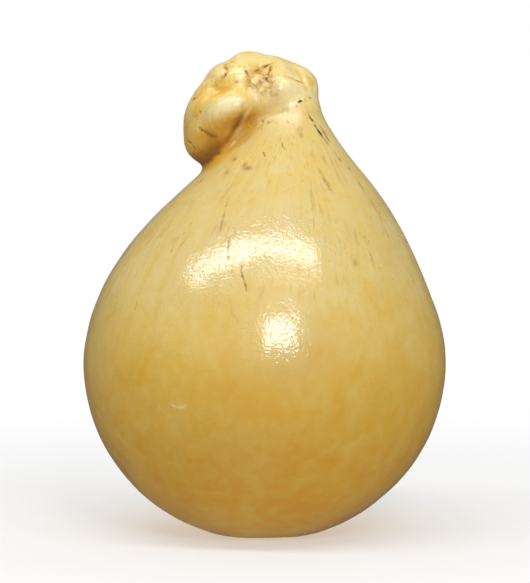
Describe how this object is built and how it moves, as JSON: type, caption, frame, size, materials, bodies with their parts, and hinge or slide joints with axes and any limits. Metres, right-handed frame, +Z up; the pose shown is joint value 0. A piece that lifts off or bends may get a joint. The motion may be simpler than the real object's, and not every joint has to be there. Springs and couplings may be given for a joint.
{
  "type": "provola cheese",
  "caption": "Whole pear-shaped stretched-curd cheese with a smooth yellow rind, a leaning neck and a folded knob drooping to one side.",
  "frame": {"origin": "middle of the small flat spot that the cheese rests on", "axes": "+Z up from the foot to the knob, the knob droops towards -X, the shown side faces -Y"},
  "size_m": [0.1589, 0.1574, 0.2105],
  "materials": {
    "rind": "smooth oily rind, satin to semi-gloss"
  },
  "bodies": {
    "root": {"provola": "rind"}
  },
  "joints": []
}
